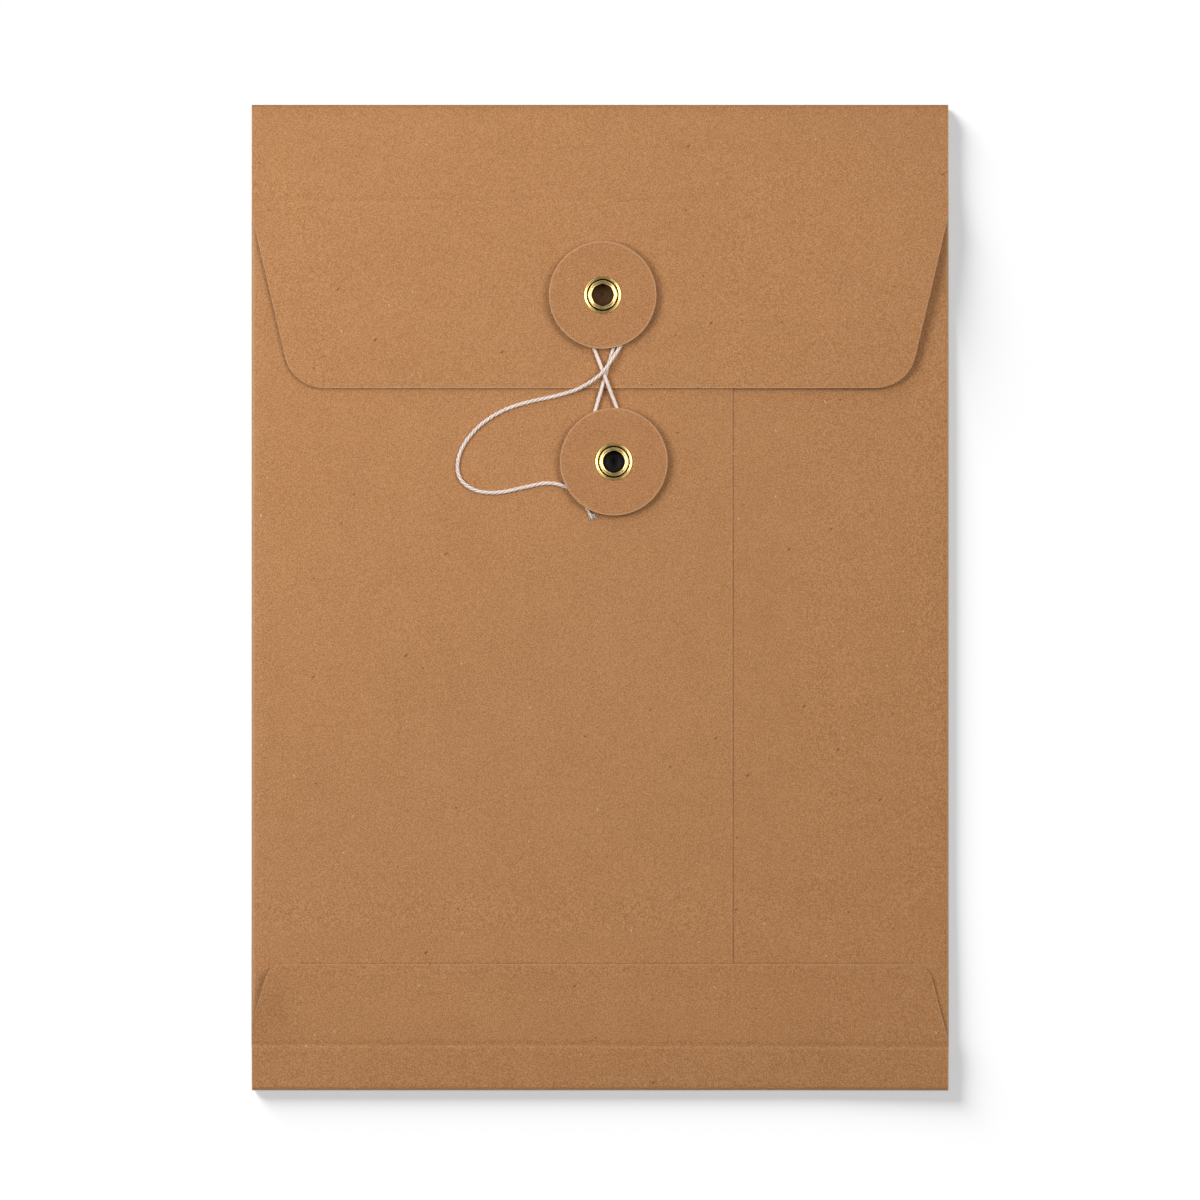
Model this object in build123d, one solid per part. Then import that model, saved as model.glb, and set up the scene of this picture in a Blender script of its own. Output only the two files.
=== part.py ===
from build123d import *
import math
import os

# String tie envelope of kraft paper, lying on its address face with its flap tied shut.
# Millimetres. The origin is the middle of the address face, on the table.
# +X runs to the right, +Y towards the top fold and +Z up, out of the flap side.

# Sheet and pocket
envelope_width = 162.0
envelope_height = 229.0
paper_thickness = 0.3
pocket_gap = 0.9
glue_thickness = 0.06

# Back panels: the left one lies outside and is glued over the edge of the right one
seam_x = 30.8
seam_overlap = 10.0
left_throat_depth = 22.4
right_throat_depth = 10.8
panel_foot_height = 10.2
panel_corner_radius = 2.0
seam_glue_width = 7.0
seam_glue_end_margin = 6.0

# Bottom flap, glued outside both back panels
bottom_flap_height = 29.4
bottom_flap_straight = 13.7
bottom_flap_inset = 5.0
bottom_flap_corner_radius = 4.5
bottom_glue_height = 11.0
bottom_glue_top_margin = 4.0
bottom_glue_side_margin = 9.0
bottom_glue_seam_gap = 0.5

# Top flap; the lift is the room under it for the rear curl of its eyelet
flap_depth = 65.9
flap_straight = 25.5
flap_inset = 9.5
flap_corner_radius = 9.3
flap_lift = 0.6

# Board discs, and the small spacers that hold them a string's thickness off the paper
disc_radius = 12.5
disc_thickness = 0.8
disc_edge_bevel = 0.15
spacer_radius = 4.4
string_room = 1.5
upper_disc_x = 0.6
upper_disc_from_fold = 44.4
lower_disc_x = 3.2
lower_disc_from_fold = 83.0

# Brass eyelets, each rolled over a separate ring on the face of its disc
eyelet_hole_radius = 2.45
eyelet_wall = 0.3
eyelet_lip_radius = 3.45
eyelet_lip_height = 0.45
eyelet_curl_radius = 4.2
eyelet_curl_height = 0.35
ring_radius = 4.35
ring_thickness = 0.36
ring_rim_thickness = 0.14
ring_dome_share = 0.75
hole_clearance = 0.08
disc_play = 0.05

# String
string_diameter = 1.1
string_seat_gap = 0.05
crossing_gap = 0.65
corners_per_turn = 12
string_sides = 8

# Turns of the string round the spacers, measured to its middle
end_turn_radius = 5.8
lower_turn_first_radius = 7.4
lower_turn_last_radius = 5.2
upper_turn_first_radius = 6.25
upper_turn_last_radius = 9.6
end_turn_start_angle = 90.0
first_strand_heading = -106.2
second_strand_heading = 111.0
slack_heading = -114.8
straight_end_length = 1.6

# Layers, counted up from the table
half_width = envelope_width / 2
half_height = envelope_height / 2
right_panel_bottom = paper_thickness + pocket_gap
right_panel_top = right_panel_bottom + paper_thickness
left_panel_bottom = right_panel_top + glue_thickness
left_panel_top = left_panel_bottom + paper_thickness
bottom_flap_bottom = left_panel_top + glue_thickness
bottom_flap_top = bottom_flap_bottom + paper_thickness
flap_bottom = left_panel_top + flap_lift
flap_top = flap_bottom + paper_thickness

# Outer radius of each fold: half of the stack that it wraps
left_fold_radius = left_panel_top / 2
right_fold_radius = right_panel_top / 2
bottom_fold_radius = bottom_flap_top / 2
crease_radius = flap_top / 2

# Edges of the panels
left_throat_y = half_height - left_throat_depth
right_throat_y = half_height - right_throat_depth
panel_foot_y = -half_height + panel_foot_height
bottom_flap_y = -half_height + bottom_flap_height
right_panel_edge_x = seam_x - seam_overlap
crease_y = half_height - crease_radius
glue_side_x = half_width - bottom_glue_side_margin

# Places and holes of the discs
upper_disc_y = half_height - upper_disc_from_fold
lower_disc_y = half_height - lower_disc_from_fold
upper_place = Pos(upper_disc_x, upper_disc_y)
lower_place = Pos(lower_disc_x, lower_disc_y)
barrel_radius = eyelet_hole_radius + eyelet_wall
hole_radius = barrel_radius + hole_clearance
ring_height_above_sheet = string_room + disc_play + disc_thickness + disc_play

# Heights of the string's middle
string_radius = string_diameter / 2
on_panel = left_panel_top + string_radius + string_seat_gap
on_flap = flap_top + string_radius + string_seat_gap
above_panel = left_panel_top + string_room / 2
above_flap = flap_top + string_room / 2
over_first_strand = above_flap + string_diameter + crossing_gap
over_both_strands = over_first_strand + string_diameter + crossing_gap


def rectangle(left, bottom, right, top):
    """A flat rectangle between two corners."""
    middle = Pos((left + right) / 2, (bottom + top) / 2)
    return middle * Rectangle(right - left, top - bottom)


def lay(outline, bottom, thickness=paper_thickness):
    """A sheet of the given outline, lying at that height."""
    return Pos(0, 0, bottom) * extrude(outline, thickness)


def fold_strip(stack, length, plane):
    """The half round of paper that joins a panel on the table to one at the top of the stack."""
    outer = stack / 2
    inner = outer - paper_thickness
    outside = CenterArc((0, outer), outer, 90, 180)
    inside = CenterArc((0, outer), inner, 90, 180)
    ends = [Line(outside @ 0, inside @ 0), Line(outside @ 1, inside @ 1)]
    return extrude(plane * make_face([outside, inside] + ends), length)


def front_panel():
    """The address face, cut back along the folds that stand in its edges."""
    outline = rectangle(-half_width, -half_height + bottom_fold_radius, half_width, crease_y)
    left_fold = rectangle(-half_width, panel_foot_y, -half_width + left_fold_radius, left_throat_y)
    right_fold = rectangle(half_width - right_fold_radius, panel_foot_y, half_width, right_throat_y)
    return lay(outline - left_fold - right_fold, 0)


def left_side_fold():
    start = (-half_width + left_fold_radius, left_throat_y, 0)
    plane = Plane(origin=start, x_dir=(1, 0, 0), z_dir=(0, -1, 0))
    return fold_strip(left_panel_top, left_throat_y - panel_foot_y, plane)


def right_side_fold():
    start = (half_width - right_fold_radius, panel_foot_y, 0)
    plane = Plane(origin=start, x_dir=(-1, 0, 0), z_dir=(0, 1, 0))
    return fold_strip(right_panel_top, right_throat_y - panel_foot_y, plane)


def bottom_fold():
    start = (-half_width, -half_height + bottom_fold_radius, 0)
    plane = Plane(origin=start, x_dir=(0, 1, 0), z_dir=(1, 0, 0))
    return fold_strip(bottom_flap_top, envelope_width, plane)


def flap_crease():
    start = (half_width, crease_y, 0)
    plane = Plane(origin=start, x_dir=(0, -1, 0), z_dir=(-1, 0, 0))
    return fold_strip(flap_top, envelope_width, plane)


def left_back_panel():
    outline = rectangle(-half_width + left_fold_radius, panel_foot_y, seam_x, left_throat_y)
    outline = fillet(outline.vertices().group_by(Axis.X)[-1], panel_corner_radius)
    return lay(outline - lower_place * Circle(hole_radius), left_panel_bottom)


def right_back_panel():
    right = half_width - right_fold_radius
    outline = rectangle(right_panel_edge_x, panel_foot_y, right, right_throat_y)
    outline = fillet(outline.vertices().group_by(Axis.X)[0], panel_corner_radius)
    return lay(outline, right_panel_bottom)


def seam_glue():
    """The line of glue inside the overlap of the two back panels."""
    middle = seam_x - seam_overlap / 2
    outline = rectangle(
        middle - seam_glue_width / 2,
        panel_foot_y + seam_glue_end_margin,
        middle + seam_glue_width / 2,
        left_throat_y - seam_glue_end_margin,
    )
    return lay(outline, right_panel_top, glue_thickness)


def bottom_flap():
    lower = -half_height + bottom_fold_radius
    shoulder = -half_height + bottom_flap_straight
    corner = half_width - bottom_flap_inset
    outline = Polyline(
        (-half_width, lower),
        (half_width, lower),
        (half_width, shoulder),
        (corner, bottom_flap_y),
        (-corner, bottom_flap_y),
        (-half_width, shoulder),
        close=True,
    )
    outline = make_face(outline)
    outline = fillet(outline.vertices().group_by(Axis.Y)[-1], bottom_flap_corner_radius)
    return lay(outline, bottom_flap_bottom)


def bottom_flap_glue(left, right, panel_top):
    """Glue between a back panel and the bottom flap that lies over it."""
    top = bottom_flap_y - bottom_glue_top_margin
    outline = rectangle(left, top - bottom_glue_height, right, top)
    return lay(outline, panel_top, bottom_flap_bottom - panel_top)


def top_flap():
    shoulder = half_height - flap_straight
    edge = half_height - flap_depth
    corner = half_width - flap_inset
    outline = Polyline(
        (-half_width, crease_y),
        (half_width, crease_y),
        (half_width, shoulder),
        (corner, edge),
        (-corner, edge),
        (-half_width, shoulder),
        close=True,
    )
    outline = make_face(outline)
    outline = fillet(outline.vertices().group_by(Axis.Y)[0], flap_corner_radius)
    return lay(outline - upper_place * Circle(hole_radius), flap_bottom)


def spacer(sheet_top):
    return lay(Circle(spacer_radius) - Circle(hole_radius), sheet_top, string_room)


def disc(sheet_top):
    """A board washer with its two outer edges slightly pressed in by the cutter."""
    board = lay(Circle(disc_radius) - Circle(hole_radius), 0, disc_thickness)
    rims = board.edges().filter_by(GeomType.CIRCLE).group_by(SortBy.LENGTH)[-1]
    return Pos(0, 0, sheet_top + string_room + disc_play) * chamfer(rims, disc_edge_bevel)


def ring(sheet_top):
    """The brass ring on the disc: thin at its rim, and domed up to the rolled lip."""
    seat = sheet_top + ring_height_above_sheet
    rim = (ring_radius, seat + ring_rim_thickness)
    crown = (eyelet_lip_radius, seat + ring_thickness)
    dome_height = ring_rim_thickness + (ring_thickness - ring_rim_thickness) * ring_dome_share
    dome = ((ring_radius + eyelet_lip_radius) / 2, seat + dome_height)
    outline = [
        Polyline((hole_radius, seat + ring_thickness), (hole_radius, seat), (ring_radius, seat), rim),
        ThreePointArc(rim, dome, crown),
        Line(crown, (hole_radius, seat + ring_thickness)),
    ]
    return revolve(Plane.XZ * make_face(outline), Axis.Z)


def eyelet(sheet_bottom, sheet_top):
    """A tube with a curl behind the sheet and a lip rolled over the ring in front."""
    front = sheet_top + ring_height_above_sheet + ring_thickness
    back = sheet_bottom - eyelet_curl_height
    lip_middle = (eyelet_hole_radius + eyelet_lip_radius) / 2
    lip_start = (eyelet_hole_radius, front)
    lip_end = (eyelet_lip_radius, front)
    outline = [
        ThreePointArc(lip_start, (lip_middle, front + eyelet_lip_height), lip_end),
        Polyline(
            lip_end,
            (barrel_radius, front),
            (barrel_radius, sheet_bottom),
            (eyelet_curl_radius, sheet_bottom),
            (eyelet_curl_radius - eyelet_curl_height, back),
            (barrel_radius, back),
            (eyelet_hole_radius, sheet_bottom),
            lip_start,
        ),
    ]
    return revolve(Plane.XZ * make_face(outline), Axis.Z)


def turn(x, y, height, start_angle, sweep, first_radius, last_radius):
    """Corners of a spiral turn round a disc's axis, set out so that its runs touch the radius."""
    count = round(abs(sweep) * corners_per_turn / 360)
    step = sweep / count
    corners = []
    for k in range(count):
        share = (k + 0.5) / count
        radius = first_radius + (last_radius - first_radius) * share
        reach = radius / math.cos(math.radians(step / 2))
        angle = math.radians(start_angle + step * (k + 0.5))
        corners.append((x + reach * math.cos(angle), y + reach * math.sin(angle), height))
    return corners


def upper_turn(start_angle, end_angle, first_radius, last_radius):
    sweep = end_angle - start_angle
    return turn(upper_disc_x, upper_disc_y, above_flap, start_angle, sweep, first_radius, last_radius)


def lower_turn(start_angle, end_angle, first_radius, last_radius):
    sweep = end_angle - start_angle
    return turn(lower_disc_x, lower_disc_y, above_panel, start_angle, sweep, first_radius, last_radius)


def string_route():
    """From the hidden end under the upper disc to the cut end below the lower one."""
    hidden_end = (upper_disc_x - straight_end_length, upper_disc_y + end_turn_radius, above_flap)
    end_turn = upper_turn(
        end_turn_start_angle, first_strand_heading + 90, end_turn_radius, end_turn_radius
    )
    first_strand = [(0.14, 47.8, above_flap), (-0.96, 44.0, above_panel)]
    turn_below = lower_turn(
        first_strand_heading - 90,
        second_strand_heading - 90,
        lower_turn_first_radius,
        lower_turn_last_radius,
    )
    second_strand = [
        (3.67, 44.6, on_panel),
        (1.60, 50.0, over_first_strand),
        (0.61, 52.6, over_first_strand),
        (-0.92, 56.6, on_flap),
    ]
    turn_above = upper_turn(
        second_strand_heading + 90,
        slack_heading + 90,
        upper_turn_first_radius,
        upper_turn_last_radius,
    )
    slack_over_crossing = [
        (5.4, 57.6, on_flap),
        (2.4, 54.6, over_both_strands),
        (-0.2, 51.8, over_both_strands),
        (-5.0, 48.5, above_flap),
        (-9.6, 46.8, on_panel),
    ]
    slack_loop = [
        (-16.7, 45.4, on_panel),
        (-24.2, 42.7, on_panel),
        (-30.6, 37.5, on_panel),
        (-33.9, 32.3, on_panel),
        (-32.6, 26.4, on_panel),
        (-27.2, 23.8, on_panel),
        (-20.5, 24.6, on_panel),
        (-13.9, 26.8, on_panel),
    ]
    cut_end = [
        (-8.2, 26.4, above_panel),
        (-4.6, 24.3, above_panel),
        (-2.9, 21.0, above_panel),
        (-1.7, 18.2, on_panel),
    ]
    winding = [hidden_end] + end_turn + first_strand + turn_below + second_strand + turn_above
    return winding + slack_over_crossing + slack_loop + cut_end


def string_tube(route):
    """A many-sided tube along a route, with each corner as wide as its two runs allow."""
    corner_run_share = 0.45
    points = [Vector(*p) for p in route]
    radii = []
    for before, corner, after in zip(points, points[1:], points[2:]):
        half_turn = math.radians((corner - before).get_angle(after - corner)) / 2
        run = min((corner - before).length, (after - corner).length)
        radii.append(corner_run_share * run / math.tan(half_turn))
    path = FilletPolyline(*points, radius=radii)
    section = Plane(origin=path @ 0, z_dir=path % 0) * RegularPolygon(string_radius, string_sides)
    tube = sweep(section, path)
    expected = section.area * path.length
    print("string length", round(path.length, 1), "volume share", round(tube.volume / expected, 4))
    print("string corner radii", [round(r, 1) for r in radii])
    print("string least gap to itself", round(least_gap(path), 2))
    return tube


def least_gap(path):
    """The least clear distance between two stretches of a tube that lie well apart along it."""
    sample_count = 440
    skip_count = 10
    points = [path @ (k / sample_count) for k in range(sample_count + 1)]
    pairs = [(p - q).length for i, p in enumerate(points) for q in points[i + skip_count :]]
    return min(pairs) - string_diameter


parts = {
    "front_panel": front_panel(),
    "left_side_fold": left_side_fold(),
    "right_side_fold": right_side_fold(),
    "bottom_fold": bottom_fold(),
    "flap_crease": flap_crease(),
    "left_back_panel": left_back_panel(),
    "right_back_panel": right_back_panel(),
    "seam_glue": seam_glue(),
    "bottom_flap": bottom_flap(),
    "bottom_glue_left": bottom_flap_glue(-glue_side_x, seam_x, left_panel_top),
    "bottom_glue_right": bottom_flap_glue(seam_x + bottom_glue_seam_gap, glue_side_x, right_panel_top),
    "top_flap": top_flap(),
    "upper_spacer": upper_place * spacer(flap_top),
    "lower_spacer": lower_place * spacer(left_panel_top),
    "upper_disc": upper_place * disc(flap_top),
    "lower_disc": lower_place * disc(left_panel_top),
    "upper_ring": upper_place * ring(flap_top),
    "lower_ring": lower_place * ring(left_panel_top),
    "upper_eyelet": upper_place * eyelet(flap_bottom, flap_top),
    "lower_eyelet": lower_place * eyelet(left_panel_bottom, left_panel_top),
    "string": string_tube(string_route()),
}

os.makedirs("parts", exist_ok=True)
for name, solid in parts.items():
    export_step(solid, f"parts/{name}.step")
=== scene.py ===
import math
import random

import bpy
from mathutils import Matrix, Vector


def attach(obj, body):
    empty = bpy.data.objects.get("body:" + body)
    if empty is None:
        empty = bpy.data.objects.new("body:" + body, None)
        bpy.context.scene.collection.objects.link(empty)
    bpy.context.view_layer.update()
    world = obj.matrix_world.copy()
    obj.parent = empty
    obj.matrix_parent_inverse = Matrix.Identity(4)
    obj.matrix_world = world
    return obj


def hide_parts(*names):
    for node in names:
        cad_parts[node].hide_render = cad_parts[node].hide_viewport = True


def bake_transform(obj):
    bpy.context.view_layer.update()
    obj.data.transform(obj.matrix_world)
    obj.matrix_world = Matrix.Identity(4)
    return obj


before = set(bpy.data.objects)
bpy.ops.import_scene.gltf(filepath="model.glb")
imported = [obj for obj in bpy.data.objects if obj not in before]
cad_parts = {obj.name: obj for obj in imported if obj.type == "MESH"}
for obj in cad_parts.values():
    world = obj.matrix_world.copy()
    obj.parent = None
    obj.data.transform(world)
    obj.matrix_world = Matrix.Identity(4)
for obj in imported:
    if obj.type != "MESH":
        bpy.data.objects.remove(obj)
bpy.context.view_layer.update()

# String tie envelope of kraft paper, seen from straight above.
# Sizes are in millimetres, in the frame of the model: +Y to the top fold, +Z up out of the flap side.

MM = 0.001
upright = Vector((0, 0, 1))
white = (1, 1, 1, 1)

# Camera: the width that it sees, and the place and level where it sees that width
frame_width = 278.7
view_centre = (-0.01, -0.55)
view_level = 1.9
lens = 150.0
sensor = 36.0
camera_range = 20000.0

# Folds: the way out to each, its outer radius, and its tone with how far in that reaches; a positive tone
# is paler, partly from wear and partly painted light, and a negative tone is painted shade
fold_ways = {"left": (-1, 0), "right": (1, 0), "bottom": (0, -1), "top": (0, 1)}
fold_radii = {"left": 0.93, "right": 0.75, "bottom": 1.11, "top": 1.38}
fold_tones = {"left": (0.9, 1.0), "right": (1.5, 0.6), "bottom": (2.4, 0.6), "top": (-0.5, 3.0)}

# Paper: its outline and thickness, and the heights of the layers that carry the closure
half_width = 81.0
half_height = 114.5
flap_side = 80.85
paper_thickness = 0.3
paper_edge_round = 0.06
edge_band = 0.35
front_z = 0.15
left_panel_z = front_z + 2 * fold_radii["left"] - paper_thickness
flap_z = front_z + 2 * fold_radii["top"] - paper_thickness
left_panel_top = left_panel_z + paper_thickness / 2
flap_top = flap_z + paper_thickness / 2

# Edges of the panels, and how much of the pale cut edge shows on panels and flaps; its paleness is partly
# the kraft's own cut fibres and partly a painted highlight
seam_x = 30.8
right_panel_edge_x = 20.8
panel_foot_y = -104.3
left_throat_y = 92.1
right_throat_y = 103.7
panel_corner = 2.0
panel_edge_share = 0.6
flap_edge_share = 1.0

# Flaps: shoulder where the sides start to slope, free edge, inset there and corner radius
top_flap_shape = {"shoulder": 25.5, "depth": 65.9, "inset": 9.5, "corner": 9.3}
bottom_flap_left = {"shoulder": 15.8, "depth": 29.4, "inset": 4.3, "corner": 4.1}
bottom_flap_right = {"shoulder": 11.6, "depth": 29.4, "inset": 4.7, "corner": 4.7}

# How far the paper lifts: two sides off the table, and the edges of the flaps off the panels
right_lift = 0.5
right_lift_x = (42.0, 81.0)
right_lift_fade_y = (62.0, 100.0)
bottom_puff = 0.5
bottom_puff_y = (60.0, 102.0)
bottom_fall_y = (101.0, 114.5)
flap_side_lift = 1.9
flap_lift_x = (25.0, 78.0)
flap_lift_depth = (12.0, 42.0)
flap_settle_depth = (46.0, 68.0)
flap_settle_share = 0.45
flap_left_curl = 0.35
flap_left_curl_x = (60.0, 78.0)
corner_curl = 2.3
corner_curl_x = (67.5, 79.0)
corner_curl_depth = (12.0, 25.0)
bottom_edge_curl = 0.3
bottom_curl_depth = (23.0, 29.4)

# Faint valleys where the edges of the panels below show through the flaps
left_throat_valley = 0.14
right_throat_valley = 0.1
throat_valley_width = 0.6
left_valley_fade_x = (18.8, 38.8)
right_valley_fade_x = (-6.0, 20.8)
foot_valley = 0.2
foot_valley_above = 0.9
foot_valley_below = 0.35
foot_valley_y = -103.83
foot_tilt_share = 0.0028
throat_lines = [half_height - left_throat_y, half_height - right_throat_y]
foot_line = half_height + foot_valley_y - foot_tilt_share * half_width

# Fineness of the meshes: steps between rows, and counts of rows, columns and segments
front_row_step = 3.0
front_columns = 60
notch_step = 0.02
fold_rows = 12
panel_row_step = 2.2
panel_corner_rows = 6
panel_columns = 70
flap_row_step = 1.8
flap_corner_rows = 14
bottom_flap_columns = 80
top_flap_columns = 90
line_reach = 1.5
line_step = 0.15
depth_digits = 4
bevel_segments = 2
sharp_angle = 50
round_segments = 128
near_axis = 0.001

# Board discs: their places, and heights above the sheet that each lies on
upper = (0.6, 70.1)
lower = (3.2, 31.5)
string_room = 1.5
disc_play = 0.05
disc_thickness = 0.8
disc_seat = string_room + disc_play
ring_seat = disc_seat + disc_thickness + disc_play
disc_radius = 12.5
disc_edge_round = 0.16
disc_edge_steps = 4
disc_lower_rows = (6.0, 10.0)
disc_upper_rows = (10.0, 8.0, 6.0, 4.6)
hole_radius = 2.83
cut_reach = 0.6

# Brass ring: a dome, and the low floor inside it; an arc has two radii, two angles and a count of steps
ring_radius = 4.35
ring_foot_inset = 0.1
ring_dome_reach = 0.36
ring_dome_lift = 0.08
ring_dome_arc = ((ring_dome_reach, 0.32), (-10, 190), 16)
ring_floor_radii = (3.6, 3.2)
ring_floor_lift = 0.02
# Rows on the ring's floor that carry painted shade
ring_painted_shade_rows = 2

# Brass eyelet: the barrel with its bore, the curl behind the paper, and the lip rolled over the ring
bore_radius = 2.45
barrel_radius = 2.75
bore_wall_shares = (0.3, 0.6, 0.9)
curl_centre = 3.5
curl_drop = 0.02
curl_arc = ((0.7, 0.33), (60, -90), 8)
mouth_drop = 0.05
mouth_reach = 0.35
mouth_arc = ((mouth_reach, 0.3), (-90, -180), 5)
# Rows at the mouth of the bore that carry painted shade, as do the bore and the underside of the lip
mouth_painted_shade_rows = 3
lip_foot = 0.1
lip_centre_radius = 2.93
lip_lift = 0.2
lip_arc = ((0.48, 0.46), (190, 0), 18)
lip_under_arc = ((0.47, 0.2), (-10, -60), 4)
lip_flats = 8
upper_flat_depth = 0.038
lower_flat_depth = 0.012

# Painted shade: dark cards behind the eyelets, which stand for the shade deep in their holes
shade_card_radius = 3.9
shade_card_thickness = 0.1
shade_card_drop = 0.37

# String: its plies, and how their width and twist change where it is taut and at its cut end
string_diameter = 1.1
ply_count = 3
ply_radius = 0.298
ply_offset = 0.168
ply_sides = 10
twist_pitch = 3.9
# Where the painted shade of the groove starts round each ply
groove_start_share = 0.25
taut_share = 1.3
taut_twist_share = 0.35
taut_run = (140.0, 160.0)
neck_share = 0.55
neck_run = 4.5
string_step = 0.14
spline_order = 3
spline_steps = 16

# Heights of the string on the paper, under the discs and where its strands cross
on_panel = left_panel_top + string_diameter / 2
on_flap = flap_top + string_diameter / 2
above_panel = left_panel_top + string_room / 2
above_flap = flap_top + string_room / 2
over_first_strand = 4.35
over_both_strands = 5.3
beside_crossing = 4.9

# Turns of the string under the discs, and the headings of its strands between them, in degrees
end_turn_radius = 5.8
end_straight = 1.6
lower_turn_radii = (7.4, 5.2)
upper_turn_radii = (6.25, 9.2)
first_heading = -106.2
second_heading = 111.0
slack_heading = -119.0
corners_per_turn = 12

# Frayed cut end of the string: a brush of fibres, and a wisp beside it
fray_seed = 7
fray_heading_points = 8
fibre_steps = 5
fibre_sides = 3
fibre_widths = (0.03, 0.055)
fibre_reach_shares = (0.8, 1.0)
fibre_tip_share = 0.4
fibre_rest = 0.06
fibre_drop = 0.3
brush = {
    "count": 120,
    "back": 2.3,
    "turn": 0,
    "neck": 0.22,
    "stagger": 0.6,
    "reach": 2.5,
    "flare": 0.17,
    "stray": 0.05,
}
wisp = {
    "count": 22,
    "back": 1.3,
    "turn": 42,
    "neck": 0.14,
    "stagger": 0.4,
    "reach": 2.1,
    "flare": 0.1,
    "stray": 0.08,
}

# Kraft: colours of paper and board, and the layers of its grain
# A noise has an angle, the length and width of its features, and a detail; a layer also has a weight
kraft_paper_look = {
    "dark": (0.355, 0.157, 0.055, 1),
    "light": (0.55, 0.276, 0.12, 1),
    "cut_edge_and_highlight": (0.64, 0.4, 0.225, 1),
    "grain_height": 0.03,
}
kraft_board_look = {
    "dark": (0.338, 0.145, 0.051, 1),
    "light": (0.523, 0.256, 0.111, 1),
    "cut_edge_and_highlight": (0.68, 0.43, 0.25, 1),
    "grain_height": 0.025,
}
kraft_layers = [
    (0, (0.3, 0.3), 2.0, 2.5),
    (33, (0.21, 0.21), 1.0, 2.6),
    (14, (1.2, 0.27), 2.0, 0.8),
    (71, (1.1, 0.27), 2.0, 0.8),
    (128, (1.2, 0.26), 2.0, 0.8),
    (0, (5.0, 5.0), 2.0, 0.2),
    (40, (24.0, 17.0), 2.0, 0.2),
]
noise_middle = 0.5
kraft_tint = (20, (2.4, 1.9), 3.0)
warm_tint = (1.02, 1.0, 0.955, 1)
cool_tint = (0.98, 1.0, 1.045, 1)
# Cut edges are paler, partly from their own fibres and partly from a painted highlight
cut_edge_and_highlight_share = 0.4
# Folds with a positive tone turn paler, partly from wear and partly from painted light; folds with a
# negative tone get painted shade
wear_and_painted_light_fold_share = 0.7
wear_and_painted_light_fold_colour = (0.78, 0.5, 0.3, 1)
painted_shade_fold_colour = (0.84, 0.82, 0.8, 1)
kraft_roughness = 0.78
kraft_gloss = 0.22

# Specks in the kraft: lays are the angle of each set and how far its specks are drawn out
dark_specks = {
    "spacing": 8.0,
    "radius": 0.26,
    "chosen_share": 0.09,
    "strength": 0.75,
    "colour": (0.1, 0.05, 0.025, 1),
    "lays": ((25, 1.3), (140, 2.6)),
}
pale_specks = {
    "spacing": 7.0,
    "radius": 0.22,
    "chosen_share": 0.07,
    "strength": 0.5,
    "colour": (0.78, 0.6, 0.42, 1),
    "lays": ((110, 1.2), (60, 2.0)),
}
speck_core_share = 0.4

# Painted shadow: a thin dark line on the back panels, just above the bottom flap's free edge
painted_shadow_line_y = -84.92
painted_shadow_line_reach = 0.26
painted_shadow_line_floor = 1.0
painted_shadow_line_ends = (68.5, 72.5)
painted_shadow_line_colour = (0.8, 0.77, 0.74, 1)

# Brass
brass_dark = (0.74, 0.52, 0.17, 1)
brass_light = (0.92, 0.72, 0.33, 1)
# Colour of the painted shade in the bore, on the ring's floor and under the lip
brass_in_shade = (0.05, 0.035, 0.02, 1)
brass_cloud = (0, (1.1, 1.1), 3.0)
brass_cloud_range = (0.3, 0.7)
brass_roughness = (0.12, 0.24)
brass_grain = (30, (0.5, 0.08), 2.0)
brass_bump = 0.25
brass_grain_height = 0.003

# Cotton
cotton_colours = ((0.87, 0.72, 0.635, 1), (0.99, 0.875, 0.79, 1))
frayed_colours = ((0.75, 0.6, 0.5, 1), (0.98, 0.84, 0.73, 1))
# Painted shade in the hollows between the plies
groove_painted_shade_colour = (0.47, 0.45, 0.45, 1)
cotton_fibre = (35, (0.9, 0.09), 3.0)
cotton_cloud = (0, (0.6, 0.6), 2.0)
cotton_fibre_share = 0.7
cotton_roughness = 0.9
cotton_gloss = 0.2
cotton_sheen = 0.25
cotton_bump = 0.6
cotton_fibre_height = 0.05

# Dark cards for painted shade, and dried glue
black_shade_card_colours = ((0.003, 0.0025, 0.002, 1), (0.014, 0.012, 0.011, 1))
black_shade_card_gloss = 0.2
brown_shade_card_colours = ((0.07, 0.034, 0.012, 1), (0.16, 0.08, 0.034, 1))
brown_shade_card_gloss = 0.05
shade_card_cloud = (0, (0.8, 0.8), 3.0)
shade_card_roughness = 0.6
glue_colours = ((0.42, 0.3, 0.16, 1), (0.6, 0.48, 0.3, 1))
glue_cloud = (0, (3.0, 2.0), 3.0)
glue_roughness = 0.45

# Floor and world: reflections see walls that are paler to the sides
floor_size = 3000.0
floor_colour = (0.86, 0.86, 0.86, 1)
floor_roughness = 0.9
floor_gloss = 0.1
floor_glow = 0.5
world_level = 0.1
world_colour = (0.95, 0.97, 1.0, 1)
wall_sides = (0.25, 0.75)
wall_levels = (0.24, 1.7)

# Lights: powers in watts, the low sun's to the square metre, and the sun's width in degrees
soft_boxes = {
    "left_box": {"place": (-250.0, 66.0, 390.0), "size": 220.0, "power": 1.165, "mirrored": True},
    "right_box": {"place": (520.0, 200.0, 950.0), "size": 520.0, "power": 5.02, "mirrored": True},
    "top_box": {"place": (-88.0, 336.0, 300.0), "size": 400.0, "power": 0.53, "mirrored": False},
}
table_key_place = (-570.0, 630.0, 284.0)
table_key_power = 4.89
table_key_spread = 27.0


def mix(a, b, share):
    return a + (b - a) * share


def clamp(value):
    return min(max(value, 0.0), 1.0)


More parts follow.
